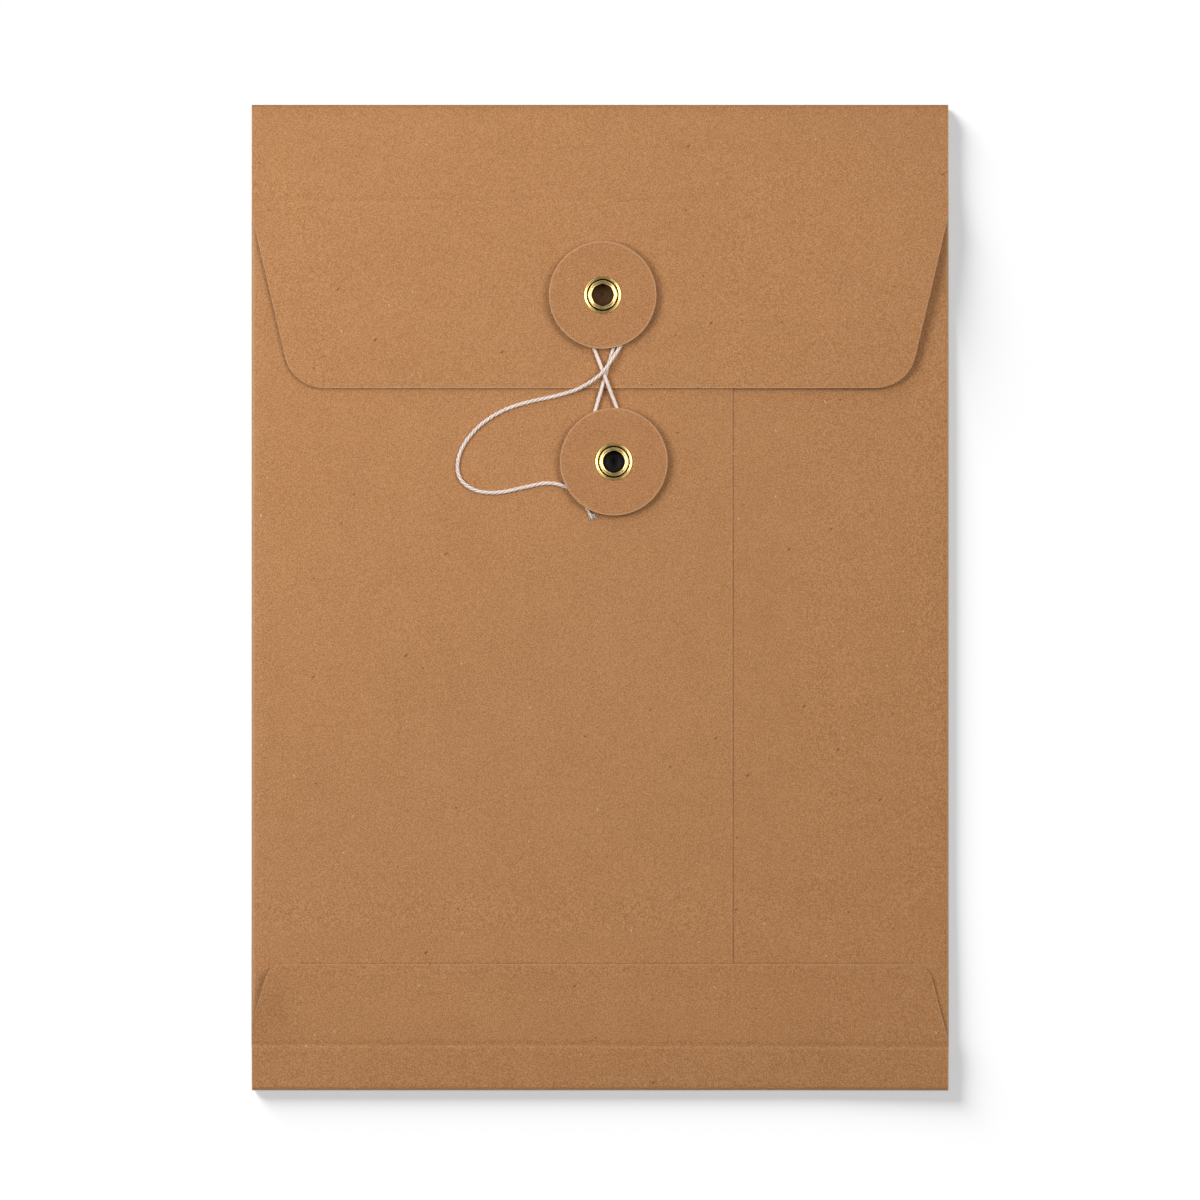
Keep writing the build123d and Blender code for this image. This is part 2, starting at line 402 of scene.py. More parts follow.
def soft(value, low, high):
    """A soft step from 0 at low to 1 at high."""
    t = clamp((value - low) / (high - low))
    return t * t * (3 - 2 * t)


def spread(low, high, step):
    """Even places from low to high, about a step apart."""
    count = max(1, round(abs(high - low) / step))
    return [mix(low, high, k / count) for k in range(count + 1)]


def mesh_object(name, points, faces):
    """A smooth-shaded mesh from points in millimetres."""
    mesh = bpy.data.meshes.new(name)
    mesh.from_pydata([(x * MM, y * MM, z * MM) for x, y, z in points], [], faces)
    mesh.shade_smooth()
    obj = bpy.data.objects.new(name, mesh)
    bpy.context.scene.collection.objects.link(obj)
    return obj


def set_mark(obj, name, values):
    """Marks each point with a value that the material reads."""
    layer = obj.data.attributes.new(name, "FLOAT", "POINT")
    layer.data.foreach_set("value", values)


def tube_faces(first, rings, sides):
    """Faces of a closed tube whose points start at first and lie ring after ring."""
    faces = []
    for k in range(rings - 1):
        for j in range(sides):
            a = first + k * sides + j
            b = first + k * sides + (j + 1) % sides
            faces.append((a, b, b + sides, a + sides))
    last = first + (rings - 1) * sides
    faces.append(tuple(first + j for j in reversed(range(sides))))
    faces.append(tuple(last + j for j in range(sides)))
    return faces


# Camera

def make_camera():
    """Looks straight down, from as high as the lens needs to see the frame's width."""
    data = bpy.data.cameras.new("camera")
    data.lens = lens
    data.sensor_width = sensor
    data.clip_end = camera_range * MM
    camera = bpy.data.objects.new("camera", data)
    height = view_level + frame_width * lens / sensor
    camera.location = (view_centre[0] * MM, view_centre[1] * MM, height * MM)
    bpy.context.scene.collection.objects.link(camera)
    bpy.context.scene.camera = camera


make_camera()


# String

def turn(centre, height, start_angle, end_angle, radii):
    """Corners of a spiral turn round a disc's axis."""
    count = round(abs(end_angle - start_angle) * corners_per_turn / 360)
    step = (end_angle - start_angle) / count
    corners = []
    for k in range(count):
        share = (k + 0.5) / count
        reach = mix(radii[0], radii[1], share) / math.cos(math.radians(step / 2))
        angle = math.radians(start_angle + step * (k + 0.5))
        x = centre[0] + reach * math.cos(angle)
        y = centre[1] + reach * math.sin(angle)
        corners.append((x, y, height))
    return corners


def string_route():
    """From the hidden end under the upper disc to the cut end below the lower one."""
    hidden_end = (upper[0] - end_straight, upper[1] + end_turn_radius, above_flap)
    end_radii = (end_turn_radius, end_turn_radius)
    end_turn = turn(upper, above_flap, 90, first_heading + 90, end_radii)
    first_strand = [(0.14, 47.8, on_flap), (-0.96, 44.0, above_panel)]
    turn_below = turn(lower, above_panel, first_heading - 90, second_heading - 90, lower_turn_radii)
    second_strand = [
        (3.67, 44.6, on_panel),
        (1.60, 50.0, over_first_strand),
        (0.61, 52.6, over_first_strand),
        (-0.92, 56.6, on_flap),
    ]
    turn_above = turn(upper, above_flap, second_heading + 90, slack_heading + 90, upper_turn_radii)
    slack_over_crossing = [
        (5.5, 59.6, on_flap),
        (3.0, 55.5, beside_crossing),
        (0.7, 52.2, over_both_strands),
        (-1.9, 50.05, beside_crossing),
        (-5.6, 48.1, on_flap),
        (-10.6, 46.7, on_panel),
    ]
    slack_loop = [
        (-16.0, 45.65, on_panel),
        (-22.5, 43.7, on_panel),
        (-28.4, 39.9, on_panel),
        (-32.7, 34.3, on_panel),
        (-33.4, 28.3, on_panel),
        (-29.9, 24.9, on_panel),
        (-24.2, 24.1, on_panel),
        (-17.6, 25.6, on_panel),
        (-12.4, 26.8, on_panel),
    ]
    cut_end = [
        (-8.3, 26.1, above_panel),
        (-5.0, 24.1, above_panel),
        (-3.1, 21.0, above_panel),
        (-1.85, 18.4, on_panel),
    ]
    winding = [hidden_end] + end_turn + first_strand + turn_below + second_strand + turn_above
    return winding + slack_over_crossing + slack_loop + cut_end


def spline_points(route):
    """Points along a smooth spline with the route as its control points."""
    curve = bpy.data.curves.new("route", "CURVE")
    curve.dimensions = "3D"
    curve.resolution_u = spline_steps
    spline = curve.splines.new("NURBS")
    spline.points.add(len(route) - 1)
    for point, place in zip(spline.points, route):
        point.co = (place[0], place[1], place[2], 1.0)
    spline.order_u = spline_order
    spline.use_endpoint_u = True
    holder = bpy.data.objects.new("route", curve)
    mesh = bpy.data.meshes.new_from_object(holder)
    points = [v.co.copy() for v in mesh.vertices]
    bpy.data.meshes.remove(mesh)
    bpy.data.objects.remove(holder)
    bpy.data.curves.remove(curve)
    return points


def even_points(points, step):
    """The same line with points at even distances."""
    out = [points[0].copy()]
    carry = 0.0
    for a, b in zip(points, points[1:]):
        run = (b - a).length
        at = step - carry
        while at <= run:
            out.append(a.lerp(b, at / run))
            at += step
        carry = run - (at - step)
    return out


def frames_along(points):
    """Two directions square to the line at each point, carried along it without twisting."""
    side = upright
    frames = []
    for k in range(len(points)):
        before = points[max(k - 1, 0)]
        after = points[min(k + 1, len(points) - 1)]
        along = (after - before).normalized()
        side = (side - along * side.dot(along)).normalized()
        frames.append((side, along.cross(side)))
    return frames


def shares_along(points, taut):
    """Shares along the string: taut up to the slack loop, 1 in the loop, and less at the cut end."""
    whole = (len(points) - 1) * string_step
    shares = []
    for k in range(len(points)):
        run = k * string_step
        end = mix(1.0, neck_share, soft(run, whole - neck_run, whole))
        shares.append(mix(taut, 1.0, soft(run, *taut_run)) * end)
    return shares


def ply_tube(points, frames, phase, thickness, twist):
    """Points of one ply that winds round the line, and marks of painted shade for its side in the groove.
    """
    verts = []
    grooves = []
    for k, point in enumerate(points):
        side, other_side = frames[k]
        angle = phase - 2 * math.pi * k * string_step / twist_pitch
        out = side * math.cos(angle) + other_side * math.sin(angle)
        middle = point + out * ply_offset * twist[k]
        for j in range(ply_sides):
            turned = 2 * math.pi * j / ply_sides
            ray = side * math.cos(angle + turned) + other_side * math.sin(angle + turned)
            verts.append(middle + ray * ply_radius * thickness[k])
            depth = (1 - math.cos(turned) - groove_start_share) / (1 - groove_start_share)
            grooves.append(clamp(depth) * twist[k])
    return verts, grooves


def make_string(points):
    """Plies twisted round the route."""
    frames = frames_along(points)
    thickness = shares_along(points, taut_share)
    twist = shares_along(points, taut_twist_share)
    verts = []
    faces = []
    grooves = []
    for ply in range(ply_count):
        phase = 2 * math.pi * ply / ply_count
        faces += tube_faces(len(verts), len(points), ply_sides)
        ply_verts, ply_grooves = ply_tube(points, frames, phase, thickness, twist)
        verts += ply_verts
        grooves += ply_grooves
    obj = mesh_object("string_twist", verts, faces)
    set_mark(obj, "groove", grooves)
    return obj


route_points = even_points(spline_points(string_route()), string_step)
string = make_string(route_points)


# Paper

def bow(x, y):
    """How far the envelope's right and lower sides curl up off the table."""
    right = right_lift * soft(x, *right_lift_x) * (1 - soft(y, *right_lift_fade_y))
    return right + bottom_puff * soft(-y, *bottom_puff_y) * (1 - soft(-y, *bottom_fall_y))


def valley(distance, depth, width):
    """A shallow rounded valley along a line."""
    return -depth * math.exp(-((distance / width) ** 2))


def flap_relief(x, y):
    """The flap's lifted sides, and the throats of both panels showing through."""
    depth = half_height - y
    settle = 1 - flap_settle_share * soft(depth, *flap_settle_depth)
    lift = flap_side_lift * soft(x, *flap_lift_x) * soft(depth, *flap_lift_depth) * settle
    left = valley(y - left_throat_y, left_throat_valley, throat_valley_width)
    left *= 1 - soft(x, *left_valley_fade_x)
    right = valley(y - right_throat_y, right_throat_valley, throat_valley_width)
    right *= soft(x, *right_valley_fade_x)
    curl = flap_left_curl * soft(-x, *flap_left_curl_x) * soft(depth, *flap_lift_depth)
    return lift + curl + left + right


def bottom_relief(x, y):
    """The bottom flap's lifted edge, and the feet of the panels showing through it, slightly askew."""
    foot = foot_valley_y - foot_tilt_share * (x + half_width)
    depth = half_height + y
    curl = corner_curl * soft(-x, *corner_curl_x) * soft(depth, *corner_curl_depth)
    lip = bottom_edge_curl * soft(depth, *bottom_curl_depth)
    width = foot_valley_above if y > foot else foot_valley_below
    return valley(y - foot, foot_valley, width) + curl + lip


def no_relief(x, y):
    return 0.0


def flap_lean(shape):
    """The angle at which a flap's sloped side leans in."""
    return math.atan(shape["inset"] / (shape["depth"] - shape["shoulder"]))


def flap_half_width(depth, shape):
    """Half the width of a flap at a depth from its fold: straight, then sloped, then a round corner."""
    run = shape["depth"] - shape["shoulder"]
    slope = shape["inset"] / run
    lean = flap_lean(shape)
    corner = shape["corner"]
    below = max(depth - shape["shoulder"], 0.0)
    centre = run - corner
    if below <= centre + corner * math.sin(lean):
        return flap_side - slope * below
    centre_x = flap_side - slope * centre - corner / math.cos(lean)
    return centre_x + math.sqrt(max(corner**2 - (below - centre) ** 2, 0.0))


def flap_depths(shape, fold_radius, lines):
    """Depths for the rows of a flap: even, closer at lines that show and round the corners."""
    lean = flap_lean(shape)
    corner_start = shape["depth"] - shape["corner"] * (1 - math.sin(lean))
    depths = spread(fold_radius, corner_start, flap_row_step)
    for line in lines:
        depths = [d for d in depths if abs(d - line) > line_reach]
        depths += spread(line - line_reach, line + line_reach, line_step)
    for k in range(1, flap_corner_rows + 1):
        angle = mix(lean, math.pi / 2, k / flap_corner_rows)
        depths.append(shape["depth"] - shape["corner"] * (1 - math.sin(angle)))
    depths.append(shape["shoulder"])
    return sorted(set(round(d, depth_digits) for d in depths))


def places_across(low, high, columns):
    """Even places from low to high, with a narrow band for the cut edge at both ends."""
    inner = [mix(low + edge_band, high - edge_band, k / columns) for k in range(1, columns)]
    return [low, low + edge_band] + inner + [high - edge_band, high]


def closed_sheet(name, rows):
    """A closed sheet from rows of (middle, normal, distance from a cut edge, tone of the fold)."""
    top = [m + n * paper_thickness / 2 for row in rows for m, n, _, _ in row]
    bottom = [m - n * paper_thickness / 2 for row in rows for m, n, _, _ in row]
    edge = [clamp(1 - e / edge_band) for row in rows for _, _, e, _ in row]
    fold = [tone for row in rows for _, _, _, tone in row]
    count = len(top)
    width = len(rows[0])
    faces = []
    for i in range(len(rows) - 1):
        for j in range(width - 1):
            a = i * width + j
            quad = (a, a + 1, a + width + 1, a + width)
            faces.append(quad)
            faces.append(tuple(count + k for k in reversed(quad)))
    rim = list(range(width))
    rim += [i * width + width - 1 for i in range(1, len(rows))]
    rim += [(len(rows) - 1) * width + j for j in reversed(range(width - 1))]
    rim += [i * width for i in reversed(range(1, len(rows) - 1))]
    for a, b in zip(rim, rim[1:] + rim[:1]):
        faces.append((b, a, count + a, count + b))
    obj = mesh_object(name, top + bottom, faces)
    set_mark(obj, "edge", edge + edge)
    set_mark(obj, "fold", fold + fold)
    return obj


def folded_sheet(name, fold, depths, limits, relief, columns, edge_share):
    """A panel or flap with the half round fold that joins it to the front panel.

    fold names the side of the envelope; depths are measured from the outside of the fold.
    edge_share is how far the cut edges are paler, from 0 to 1.
    """
    way = fold_ways[fold]
    out = Vector((way[0], way[1], 0.0))
    across = Vector((abs(way[1]), abs(way[0]), 0.0))
    reach = half_height if way[1] else half_width
    fold_radius = fold_radii[fold]
    fold_tone, tone_reach = fold_tones[fold]
    middle_radius = fold_radius - paper_thickness / 2
    stations = [(-90.0 + 180.0 * k / fold_rows, fold_radius) for k in range(fold_rows)]
    stations += [(90.0, d) for d in depths]
    rows = []
    for angle, depth in stations:
        low, high = limits(depth)
        t = math.radians(angle)
        row = []
        for place in places_across(low, high, columns):
            normal = out * math.cos(t) + upright * math.sin(t)
            point = out * (reach - depth + middle_radius * math.cos(t)) + across * place
            point.z = front_z + middle_radius + middle_radius * math.sin(t)
            share = (math.sin(t) + 1) / 2
            point.z += bow(point.x, point.y) + share * relief(point.x, point.y)
            cut = min(place - low, high - place, depths[-1] - depth)
            inset = reach - point.dot(out)
            tone = fold_tone * max(1 - inset / tone_reach, 0.0)
            row.append((point, normal, mix(edge_band, cut, edge_share), tone))
        rows.append(row)
    obj = closed_sheet(name, rows)
    # The rows of these two run the other way round
    if fold in ("right", "bottom"):
        obj.data.flip_normals()
    return obj


def front_sheet(name):
    """The address face, cut back along its sides where the folds stand."""
    heights = spread(-half_height + fold_radii["bottom"], half_height - fold_radii["top"], front_row_step)
    for line in (panel_foot_y, left_throat_y, right_throat_y):
        heights += [line - notch_step, line + notch_step]
    rows = []
    for y in sorted(heights):
        left = -half_width + (fold_radii["left"] if panel_foot_y < y < left_throat_y else 0.0)
        right = half_width - (fold_radii["right"] if panel_foot_y < y < right_throat_y else 0.0)
        row = []
        for k in range(front_columns + 1):
            x = mix(left, right, k / front_columns)
            row.append((Vector((x, y, front_z + bow(x, y))), upright, edge_band, 0.0))
        rows.append(row)
    return closed_sheet(name, rows)


def back_panel(name, fold, free_depth, throat_y):
    """A back panel from its side fold to its free edge, which has small round corners."""
    straight = free_depth - panel_corner
    depths = spread(fold_radii[fold], straight, panel_row_step)
    for k in range(1, panel_corner_rows + 1):
        angle = math.pi / 2 * k / panel_corner_rows
        depths.append(free_depth - panel_corner * (1 - math.sin(angle)))

    def limits(depth):
        into = max(depth - straight, 0.0)
        cut = panel_corner - math.sqrt(max(panel_corner**2 - into**2, 0.0))
        return panel_foot_y + cut, throat_y - cut

    return folded_sheet(name, fold, depths, limits, no_relief, panel_columns, panel_edge_share)


def flap(name, fold, left_shape, right_shape, lines, relief, columns):
    """A flap from its fold to its free edge; its left and right corners may differ."""
    depths = set()
    for shape in (left_shape, right_shape):
        depths.update(flap_depths(shape, fold_radii[fold], lines))

    def limits(depth):
        return -flap_half_width(depth, left_shape), flap_half_width(depth, right_shape)

    return folded_sheet(name, fold, sorted(depths), limits, relief, columns, flap_edge_share)


def lathe(name, profile, centre, wobble=None):
    """A ring turned from a closed loop of (radius, height) pairs."""
    points = []
    for k in range(round_segments):
        angle = 2 * math.pi * k / round_segments
        for i, (radius, height) in enumerate(profile):
            reach = radius + (wobble(i, angle) if wobble else 0.0)
            x = centre[0] + reach * math.cos(angle)
            y = centre[1] + reach * math.sin(angle)
            points.append((x, y, height))
    size = len(profile)
    faces = []
    for k in range(round_segments):
        a = k * size
        b = (k + 1) % round_segments * size
        for i in range(size):
            j = (i + 1) % size
            faces.append((a + i, b + i, b + j, a + j))
    return mesh_object(name, points, faces)


def round_plate(name, centre, radius, low, high):
    """A round plate, solid but for a pinhole at its axis."""
    profile = [(near_axis, low), (radius, low), (radius, high), (near_axis, high)]
    return lathe(name, profile, centre)


def cut_hole(obj, centre, height):
    """Cuts the eyelet's hole through a sheet that lies at that height."""
    cutter = round_plate("cutter", centre, hole_radius, height - cut_reach, height + cut_reach)
    cut = obj.modifiers.new("hole", "BOOLEAN")
    cut.operation = "DIFFERENCE"
    cut.solver = "EXACT"
    cut.object = cutter
    bpy.context.view_layer.update()
    graph = bpy.context.evaluated_depsgraph_get()
    old = obj.data
    holed = bpy.data.meshes.new_from_object(obj.evaluated_get(graph))
    obj.modifiers.remove(cut)
    obj.data = holed
    bpy.data.meshes.remove(old)
    bpy.data.objects.remove(cutter)


def soften_edges(obj, width):
    """Rounds the sharp cut edges a little."""
    bevel = obj.modifiers.new("edge", "BEVEL")
    bevel.width = width * MM
    bevel.segments = bevel_segments
    bevel.limit_method = "ANGLE"
    bevel.angle_limit = math.radians(sharp_angle)


front_panel = front_sheet("front_panel_sheet")
left_panel = back_panel("left_panel_sheet", "left", seam_x + half_width, left_throat_y)
right_panel = back_panel("right_panel_sheet", "right", half_width - right_panel_edge_x, right_throat_y)
bottom_flap = flap(
    "bottom_flap_sheet",
    "bottom",
    bottom_flap_left,
    bottom_flap_right,
    [foot_line],
    bottom_relief,
    bottom_flap_columns,
)
top_flap = flap(
    "top_flap_sheet",
    "top",
    top_flap_shape,
    top_flap_shape,
    throat_lines,
    flap_relief,
    top_flap_columns,
)
cut_hole(left_panel, lower, left_panel_z)
cut_hole(top_flap, upper, flap_z)
for obj in (front_panel, left_panel, right_panel, bottom_flap, top_flap):
    soften_edges(obj, paper_edge_round)


# Discs, rings and eyelets

def arc_points(centre, radii, angles, steps):
    """Points of an elliptic arc in a turned profile; angles in degrees."""
    points = []
    for k in range(steps + 1):
        angle = math.radians(mix(angles[0], angles[1], k / steps))
        points.append((centre[0] + radii[0] * math.cos(angle), centre[1] + radii[1] * math.sin(angle)))
    return points


def disc(name, centre, sheet_top):
    """A die-cut board disc: the edge is slightly rounded above and below."""
    low = sheet_top + disc_seat
    high = low + disc_thickness
    rim = disc_radius - disc_edge_round
    round_radii = (disc_edge_round, disc_edge_round)
    profile = [(r, low) for r in (hole_radius, *disc_lower_rows, rim - edge_band)]
    profile += arc_points((rim, low + disc_edge_round), round_radii, (-90, 0), disc_edge_steps)
    profile += arc_points((rim, high - disc_edge_round), round_radii, (0, 90), disc_edge_steps)
    profile += [(r, high) for r in (rim - edge_band, *disc_upper_rows, hole_radius)]
    obj = lathe(name, profile, centre)
    # The disc's rim gets the pale cut edge, partly its own fibres and partly a painted highlight
    edge_start = rim - edge_band / 2
    set_mark(obj, "edge", [float(p[0] > edge_start) for p in profile] * round_segments)
    return obj


def ring(name, centre, sheet_top):
    """The brass ring: a soft dome that falls to a low floor beside the rolled lip, with painted shade on
    that floor.
    """
    seat = sheet_top + ring_seat
    dome_centre = (ring_radius - ring_dome_reach, seat + ring_dome_lift)
    profile = [(hole_radius, seat), (ring_radius - ring_foot_inset, seat)]
    profile += arc_points(dome_centre, *ring_dome_arc)
    painted_shade_start = len(profile) - ring_painted_shade_rows
    profile += [(r, seat + ring_floor_lift) for r in (*ring_floor_radii, hole_radius)]
    obj = lathe(name, profile, centre)
    set_mark(obj, "bore", [float(i >= painted_shade_start) for i in range(len(profile))] * round_segments)
    return obj


def eyelet(name, centre, sheet_top, flat_depth):
    """The barrel, its rear curl, and the lip rolled over the ring, slightly many-sided from the punch."""
    rear = sheet_top - paper_thickness
    front = sheet_top + ring_seat + lip_foot
    mouth_centre = (bore_radius + mouth_reach, rear - mouth_drop)
    lip_centre = (lip_centre_radius, front + lip_lift)
    profile = [(barrel_radius, rear - curl_drop)]
    profile += arc_points((curl_centre, rear - curl_drop), *curl_arc)
    profile += arc_points(mouth_centre, *mouth_arc)
    wall_start = len(profile)
    profile += [(bore_radius, mix(rear, front, share)) for share in bore_wall_shares]
    lip_start = len(profile)
    profile += arc_points(lip_centre, *lip_arc)
    lip_end = len(profile) - 1
    profile += arc_points(lip_centre, *lip_under_arc)
    profile += [(barrel_radius, front)]

    def wobble(i, angle):
        return flat_depth * math.cos(lip_flats * angle) if i >= wall_start else 0.0

    # Painted shade in the bore, at its mouth and under the lip
    def in_shade(i):
        return wall_start - mouth_painted_shade_rows <= i <= lip_start or i >= lip_end

    obj = lathe(name, profile, centre, wobble)
    set_mark(obj, "bore", [float(in_shade(i)) for i in range(len(profile))] * round_segments)
    return obj


def painted_shade(name, centre, sheet_top):
    """A dark card behind an eyelet: painted shade, seen through its hole."""
    high = sheet_top - paper_thickness - shade_card_drop
    return round_plate(name, centre, shade_card_radius, high - shade_card_thickness, high)


upper_disc = disc("upper_disc_board", upper, flap_top)
lower_disc = disc("lower_disc_board", lower, left_panel_top)
upper_ring = ring("upper_ring_brass", upper, flap_top)
lower_ring = ring("lower_ring_brass", lower, left_panel_top)
upper_eyelet = eyelet("upper_eyelet_brass", upper, flap_top, upper_flat_depth)
lower_eyelet = eyelet("lower_eyelet_brass", lower, left_panel_top, lower_flat_depth)
# Dark cards behind the eyelets: painted shade seen through their holes
upper_painted_shade = painted_shade("upper_painted_shade_card", upper, flap_top)
lower_painted_shade = painted_shade("lower_painted_shade_card", lower, left_panel_top)


# Frayed cut end of the string

def fibre_points(start, along, side, reach, lean, curl, width):
    """Points of one loose fibre that leans and curls to the side and sinks to the paper."""
    verts = []
    for i in range(fibre_steps + 1):
        share = i / fibre_steps
        place = start + along * reach * share + side * reach * (lean * share + curl * share * share)
        place.z = max(left_panel_top + fibre_rest, mix(start.z, start.z - fibre_drop, share))
        thin = width * mix(1.0, fibre_tip_share, share)
        for j in range(fibre_sides):
            angle = 2 * math.pi * j / fibre_sides
            verts.append(place + side * thin * math.cos(angle) + upright * (thin * math.sin(angle)))
    return verts


def make_fray(points):
    """The cut end opens into a brush of loose fibres, with a wisp beside it."""
    draw = random.Random(fray_seed)
    end = points[-1]
    along = (end - points[-fray_heading_points]).normalized()
    along.z = 0.0
    verts = []
    faces = []
    for tuft in (brush, wisp):
        heading = (Matrix.Rotation(math.radians(tuft["turn"]), 3, "Z") @ along).normalized()
        side = heading.cross(upright)
        root = end - along * tuft["back"]
        for _ in range(tuft["count"]):
            off = draw.uniform(-1.0, 1.0)
            start = root + side * off * tuft["neck"] + heading * draw.uniform(0.0, tuft["stagger"])
            start.z = mix(left_panel_top + fibre_rest, end.z + tuft["neck"], draw.random())
            reach = tuft["reach"] * draw.uniform(*fibre_reach_shares)
            lean = off * tuft["flare"] + draw.gauss(0.0, tuft["stray"])
            curl = draw.uniform(-1.0, 1.0) * tuft["stray"]
            width = draw.uniform(*fibre_widths)
            faces += tube_faces(len(verts), fibre_steps + 1, fibre_sides)
            verts += fibre_points(start, heading, side, reach, lean, curl, width)
    return mesh_object("string_fray", verts, faces)


fray = make_fray(route_points)


# Materials

def feed(tree, made, inputs):
    """Gives a shader node its inputs, which are values or sockets to link."""
    for key, value in inputs.items():
        if isinstance(value, bpy.types.NodeSocket):
            tree.links.new(value, made.inputs[key])
        else:
            made.inputs[key].default_value = value


def node(tree, kind, inputs=None, **settings):
    """Adds a shader node with its settings and inputs."""
    made = tree.nodes.new(kind)
    for key, value in settings.items():
        setattr(made, key, value)
    feed(tree, made, inputs or {})
    return made


def new_material(name):
    material = bpy.data.materials.new(name)
    material.use_nodes = True
    tree = material.node_tree
    shader = tree.nodes["Principled BSDF"]
    return material, tree, shader


def set_surface(tree, shader, colour, roughness, gloss):
    feed(tree, shader, {"Base Color": colour, "Roughness": roughness, "Specular IOR Level": gloss})


def set_bump(tree, shader, height, strength, distance):
    bump = node(tree, "ShaderNodeBump", {"Height": height, "Strength": strength, "Distance": distance * MM})
    feed(tree, shader, {"Normal": bump.outputs[0]})


def math_node(tree, operation, a, b=0.0):
    return node(tree, "ShaderNodeMath", {0: a, 1: b}, operation=operation).outputs[0]


def times(tree, a, b):
    return math_node(tree, "MULTIPLY", a, b)


def map_range(tree, value, start, end, low=0.0, high=1.0):
    """Maps the stretch from start to end onto the one from low to high."""
    return node(tree, "ShaderNodeMapRange", {"Value": value, 1: start, 2: end, 3: low, 4: high}).outputs[0]


def mix_colours(tree, share, a, b, blend="MIX"):
    """Mixes two colours; the node takes them at 6 and 7 and gives the mix at 2."""
    made = node(tree, "ShaderNodeMix", {0: share, 6: a, 7: b}, data_type="RGBA", blend_type=blend)
    return made.outputs[2]


def mark(tree, name):
    """Reads a mark that set_mark has put on the points."""
    return node(tree, "ShaderNodeAttribute", attribute_name=name).outputs["Fac"]


def millimetres(tree):
    """The place on the object, counted in millimetres."""
    place = node(tree, "ShaderNodeTexCoord").outputs["Object"]
    scale = (1 / MM, 1 / MM, 1 / MM)
    return node(tree, "ShaderNodeVectorMath", {0: place, 1: scale}, operation="MULTIPLY").outputs[0]


def turned_and_scaled(tree, place, angle, size):
    """Turns the place about the upright axis, then counts it in lengths and widths of a feature."""
    turning = {"Vector": place, "Angle": math.radians(angle)}
    turned = node(tree, "ShaderNodeVectorRotate", turning, rotation_type="Z_AXIS").outputs[0]
    scale = (1 / size[0], 1 / size[1], 1 / size[1])
    return node(tree, "ShaderNodeVectorMath", {0: turned, 1: scale}, operation="MULTIPLY").outputs[0]


def stretched_noise(tree, place, angle, size, detail):
    """Noise with features of that length and width, lying at an angle."""
    drawn = turned_and_scaled(tree, place, angle, size)
    made = node(tree, "ShaderNodeTexNoise", {"Vector": drawn, "Scale": 1.0, "Detail": detail})
    return made.outputs["Fac"]


def kraft_grain(tree, place):
    """Fine grain and short fibres in all directions, with soft clouds."""
    total = noise_middle
    for angle, size, detail, weight in kraft_layers:
        noise = stretched_noise(tree, place, angle, size, detail)
        centred = math_node(tree, "SUBTRACT", noise, noise_middle)
        total = math_node(tree, "ADD", times(tree, centred, weight), total)
    return total


def add_specks(tree, place, colour, kind):
    """Puts sparse specks on a colour, drawn out a little."""
    spacing = kind["spacing"]
    reach = kind["radius"] / spacing
    for angle, stretch in kind["lays"]:
        drawn = turned_and_scaled(tree, place, angle, (spacing * stretch, spacing))
        cells = node(tree, "ShaderNodeTexVoronoi", {"Vector": drawn, "Scale": 1.0}, voronoi_dimensions="2D")
        near = map_range(tree, cells.outputs["Distance"], reach, reach * speck_core_share)
        value = node(tree, "ShaderNodeSeparateColor", {0: cells.outputs["Color"]}).outputs[0]
        chosen = math_node(tree, "LESS_THAN", value, kind["chosen_share"])
        speck = times(tree, times(tree, near, chosen), kind["strength"])
        colour = mix_colours(tree, speck, colour, kind["colour"])
    return colour


def painted_shadow_line(tree, place):
    """A painted shadow line on the back panels, just above the bottom flap's free edge."""
    x, y, z = node(tree, "ShaderNodeSeparateXYZ", {0: place}).outputs
    away = math_node(tree, "ABSOLUTE", math_node(tree, "SUBTRACT", y, painted_shadow_line_y))
    line = map_range(tree, away, painted_shadow_line_reach, 0.0)
    on_panels = math_node(tree, "GREATER_THAN", z, painted_shadow_line_floor)
    across = math_node(tree, "ABSOLUTE", x)
    between_ends = map_range(tree, across, painted_shadow_line_ends[1], painted_shadow_line_ends[0])
    return times(tree, times(tree, line, on_panels), between_ends)


